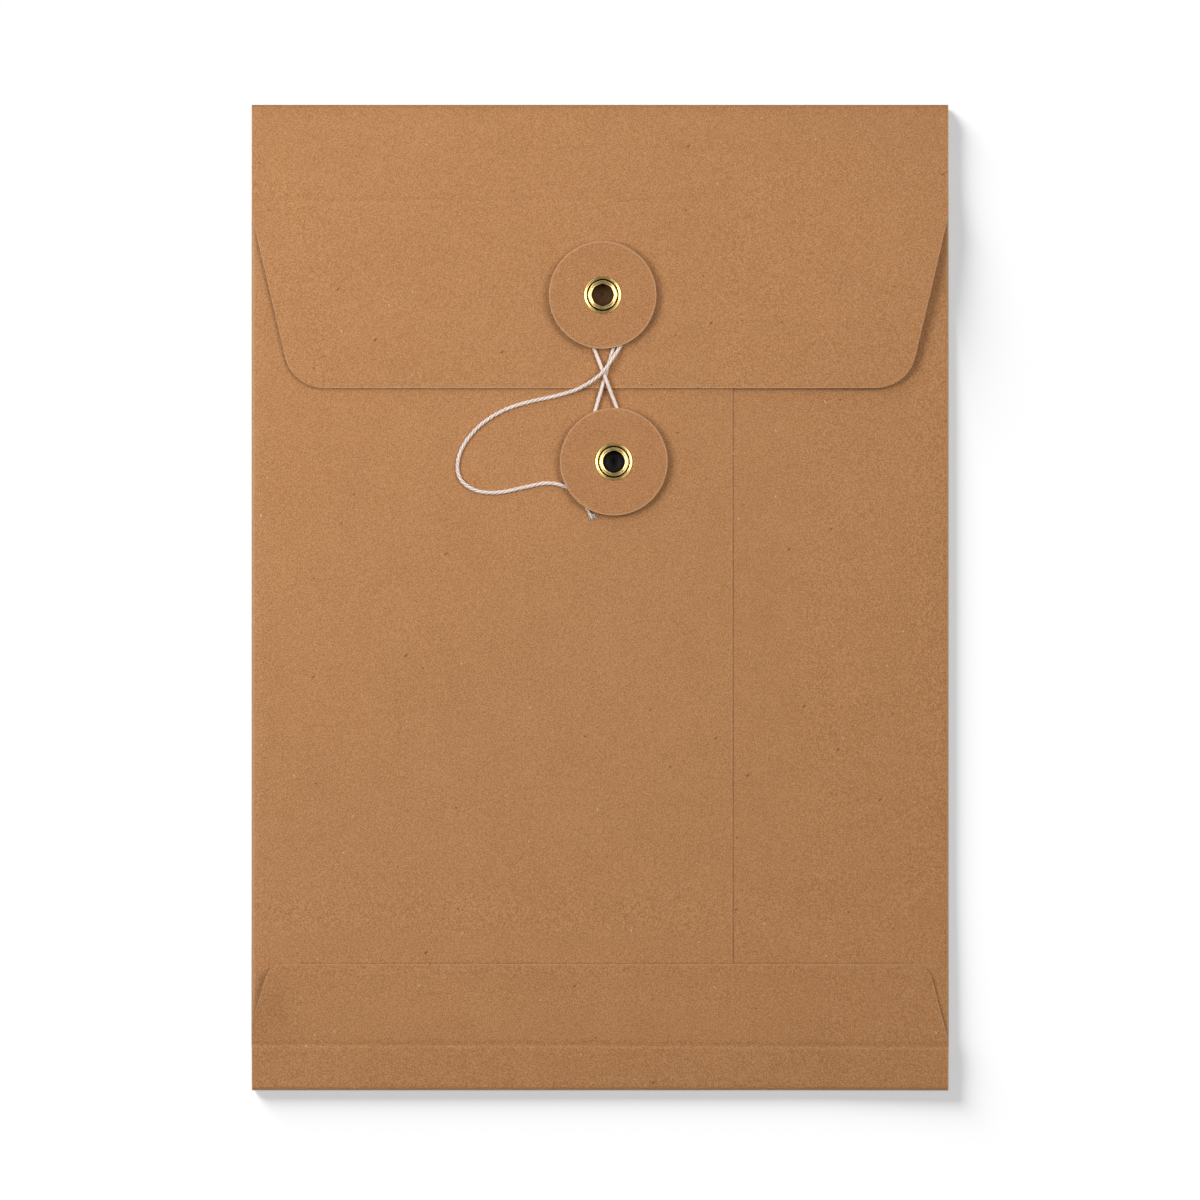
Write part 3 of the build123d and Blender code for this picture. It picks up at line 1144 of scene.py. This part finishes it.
def kraft(name, look):
    """Brown kraft: grain with a change of tint, a few specks, cut edges paler partly from their fibres and
    partly a painted highlight, folds paler partly from wear and partly painted light, painted shade on a
    fold, and a painted shadow line.
    """
    material, tree, shader = new_material(name)
    place = millimetres(tree)
    grain = kraft_grain(tree, place)
    colour = mix_colours(tree, grain, look["dark"], look["light"])
    tint = mix_colours(tree, stretched_noise(tree, place, *kraft_tint), warm_tint, cool_tint)
    colour = mix_colours(tree, 1.0, colour, tint, "MULTIPLY")
    for kind in (dark_specks, pale_specks):
        colour = add_specks(tree, place, colour, kind)
    # Pale cut edges: partly the kraft's own cut fibres, partly a painted highlight
    cut_edge_and_highlight = times(tree, mark(tree, "edge"), cut_edge_and_highlight_share)
    colour = mix_colours(tree, cut_edge_and_highlight, colour, look["cut_edge_and_highlight"])
    # Paler folds are partly wear and partly painted light; the darkened fold is painted shade
    fold = mark(tree, "fold")
    wear_and_painted_light = math_node(tree, "MAXIMUM", times(tree, fold, wear_and_painted_light_fold_share))
    colour = mix_colours(tree, wear_and_painted_light, colour, wear_and_painted_light_fold_colour)
    painted_fold_shade = math_node(tree, "MAXIMUM", times(tree, fold, -1.0))
    colour = mix_colours(tree, painted_fold_shade, colour, painted_shade_fold_colour, "MULTIPLY")
    # Painted shadow just above the bottom flap's free edge
    colour = mix_colours(tree, painted_shadow_line(tree, place), colour, painted_shadow_line_colour, "MULTIPLY")
    set_surface(tree, shader, colour, kraft_roughness, kraft_gloss)
    set_bump(tree, shader, grain, 1.0, look["grain_height"])
    return material


def brass_material():
    """Plated brass with faint turning marks and some tarnish, and painted shade where light doesn't reach:
    in the bore, on the ring's floor and under the lip.
    """
    material, tree, shader = new_material("brass")
    place = millimetres(tree)
    cloud = stretched_noise(tree, place, *brass_cloud)
    colour = mix_colours(tree, cloud, brass_dark, brass_light)
    # Painted shade where the bore mark is set
    colour = mix_colours(tree, mark(tree, "bore"), colour, brass_in_shade)
    rough = map_range(tree, cloud, *brass_cloud_range, *brass_roughness)
    feed(tree, shader, {"Base Color": colour, "Metallic": 1.0, "Roughness": rough})
    set_bump(tree, shader, stretched_noise(tree, place, *brass_grain), brass_bump, brass_grain_height)
    return material


def cotton_material(name, colours):
    """Off-white cotton: soft, with fine fibres and painted shade in the hollows between the plies."""
    material, tree, shader = new_material(name)
    place = millimetres(tree)
    fibre = times(tree, stretched_noise(tree, place, *cotton_fibre), cotton_fibre_share)
    cloud = times(tree, stretched_noise(tree, place, *cotton_cloud), 1 - cotton_fibre_share)
    total = math_node(tree, "ADD", fibre, cloud)
    colour = mix_colours(tree, total, *colours)
    # Painted shade in the grooves between the plies
    colour = mix_colours(tree, mark(tree, "groove"), colour, groove_painted_shade_colour, "MULTIPLY")
    set_surface(tree, shader, colour, cotton_roughness, cotton_gloss)
    feed(tree, shader, {"Sheen Weight": cotton_sheen})
    set_bump(tree, shader, total, cotton_bump, cotton_fibre_height)
    return material


def shade_card_material(name, colours, gloss):
    """Dark card for painted shade, with a slight sheen."""
    material, tree, shader = new_material(name)
    cloud = stretched_noise(tree, millimetres(tree), *shade_card_cloud)
    colour = mix_colours(tree, cloud, *colours)
    set_surface(tree, shader, colour, shade_card_roughness, gloss)
    return material


def glue_material():
    """Dried paper glue: a thin amber film."""
    material, tree, shader = new_material("paper_glue")
    cloud = stretched_noise(tree, millimetres(tree), *glue_cloud)
    colour = mix_colours(tree, cloud, *glue_colours)
    feed(tree, shader, {"Base Color": colour, "Roughness": glue_roughness})
    return material


kraft_paper = kraft("kraft_paper", kraft_paper_look)
kraft_board = kraft("kraft_board", kraft_board_look)
brass = brass_material()
cotton = cotton_material("cotton", cotton_colours)
frayed_cotton = cotton_material("frayed_cotton", frayed_colours)
glue = glue_material()
black_shade_card = shade_card_material("black_shade_card", black_shade_card_colours, black_shade_card_gloss)
brown_shade_card = shade_card_material("brown_shade_card", brown_shade_card_colours, brown_shade_card_gloss)


def dress(obj, material):
    """Gives an object one material."""
    obj.data.materials.clear()
    obj.data.materials.append(material)


# Each piece: its material, record slot, body and the solids that it stands for; the painted shade cards
# have no slot
pieces = [
    (front_panel, kraft_paper, "kraft_paper", "envelope", ["front_panel"]),
    (left_panel, kraft_paper, "kraft_paper", "envelope", ["left_back_panel", "left_side_fold"]),
    (right_panel, kraft_paper, "kraft_paper", "envelope", ["right_back_panel", "right_side_fold"]),
    (bottom_flap, kraft_paper, "kraft_paper", "envelope", ["bottom_flap", "bottom_fold"]),
    (upper_disc, kraft_board, "kraft_board", "upper_disc", ["upper_disc"]),
    (lower_disc, kraft_board, "kraft_board", "lower_disc", ["lower_disc"]),
    (upper_ring, brass, "brass", "flap", ["upper_ring"]),
    (lower_ring, brass, "brass", "envelope", ["lower_ring"]),
    (upper_eyelet, brass, "brass", "flap", ["upper_eyelet"]),
    (lower_eyelet, brass, "brass", "envelope", ["lower_eyelet"]),
    (string, cotton, "cotton_string", "envelope", ["string"]),
    (fray, frayed_cotton, "cotton_string", "envelope", []),
    (upper_painted_shade, brown_shade_card, None, "flap", []),
    (lower_painted_shade, black_shade_card, None, "envelope", []),
]
for obj, material, slot, body, nodes in pieces:
    dress(obj, material)
    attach(obj, body)
    if nodes:
        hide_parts(*nodes)

dress(top_flap, kraft_paper)
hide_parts("top_flap", "flap_crease")
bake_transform(top_flap)

for name in ("upper_spacer", "lower_spacer"):
    dress(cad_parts[name], kraft_board)
for name in ("seam_glue", "bottom_glue_left", "bottom_glue_right"):
    dress(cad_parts[name], glue)


# Floor, world and lights

def make_floor():
    """A white table that stays white to the camera and keeps the object's shadow."""
    size = floor_size
    corners = [(-size, -size, 0), (size, -size, 0), (size, size, 0), (-size, size, 0)]
    floor = mesh_object("floor", corners, [(0, 1, 2, 3)])
    material, tree, shader = new_material("floor")
    set_surface(tree, shader, floor_colour, floor_roughness, floor_gloss)
    path = node(tree, "ShaderNodeLightPath")
    seen = math_node(tree, "MAXIMUM", path.outputs["Is Camera Ray"], path.outputs["Is Glossy Ray"])
    seen = math_node(tree, "MAXIMUM", seen, path.outputs["Is Transmission Ray"])
    strength = times(tree, seen, floor_glow)
    glow = node(tree, "ShaderNodeEmission", {"Color": white, "Strength": strength})
    both = node(tree, "ShaderNodeAddShader", {0: shader.outputs[0], 1: glow.outputs[0]})
    feed(tree, tree.nodes["Material Output"], {"Surface": both.outputs[0]})
    floor.data.materials.append(material)
    return floor


def make_world():
    """Even light all round; reflections see pale walls left and right and dark ones above and below."""
    world = bpy.data.worlds.new("world")
    world.use_nodes = True
    bpy.context.scene.world = world
    tree = world.node_tree
    path = node(tree, "ShaderNodeLightPath")
    way = node(tree, "ShaderNodeTexCoord").outputs["Generated"]
    sideways = node(tree, "ShaderNodeSeparateXYZ", {0: way}).outputs[0]
    walls = map_range(tree, math_node(tree, "ABSOLUTE", sideways), *wall_sides, *wall_levels)
    room = tree.nodes["Background"]
    feed(tree, room, {"Color": world_colour, "Strength": world_level})
    studio = node(tree, "ShaderNodeBackground", {"Color": white, "Strength": walls})
    blank = node(tree, "ShaderNodeBackground", {"Color": white, "Strength": 1.0})
    glossy = path.outputs["Is Glossy Ray"]
    mirrored = node(tree, "ShaderNodeMixShader", {0: glossy, 1: room.outputs[0], 2: studio.outputs[0]})
    seen = math_node(tree, "MAXIMUM", path.outputs["Is Camera Ray"], path.outputs["Is Transmission Ray"])
    both = node(tree, "ShaderNodeMixShader", {0: seen, 1: mirrored.outputs[0], 2: blank.outputs[0]})
    feed(tree, tree.nodes["World Output"], {"Surface": both.outputs[0]})


def add_light(name, data, place):
    """A light at a place, aimed at the middle of the table."""
    obj = bpy.data.objects.new(name, data)
    obj.location = Vector(place) * MM
    obj.rotation_euler = (-Vector(place)).normalized().to_track_quat("-Z", "Y").to_euler()
    bpy.context.scene.collection.objects.link(obj)
    return obj


def light_only(light, objects):
    """Lets a light fall on these objects alone."""
    group = bpy.data.collections.new(light.name + "_receivers")
    for obj in objects:
        group.objects.link(obj)
    light.light_linking.receiver_collection = group


def add_soft_box(name, box, objects):
    """A square soft box that lights these objects alone."""
    data = bpy.data.lights.new(name, "AREA")
    data.shape = "SQUARE"
    data.size = box["size"] * MM
    data.energy = box["power"]
    light = add_light(name, data, box["place"])
    light.visible_glossy = box["mirrored"]
    light.visible_camera = False
    light_only(light, objects)


def add_table_key(floor):
    """A low sun for the table's shadow alone."""
    data = bpy.data.lights.new("table_key", "SUN")
    data.angle = math.radians(table_key_spread)
    data.energy = table_key_power
    light_only(add_light("table_key", data, table_key_place), [floor])


make_world()
floor = make_floor()
envelope = [obj for obj in bpy.context.scene.objects if obj.type == "MESH" and obj != floor]
for name, box in soft_boxes.items():
    add_soft_box(name, box, envelope)
add_table_key(floor)

bpy.context.scene.view_settings.view_transform = "Standard"
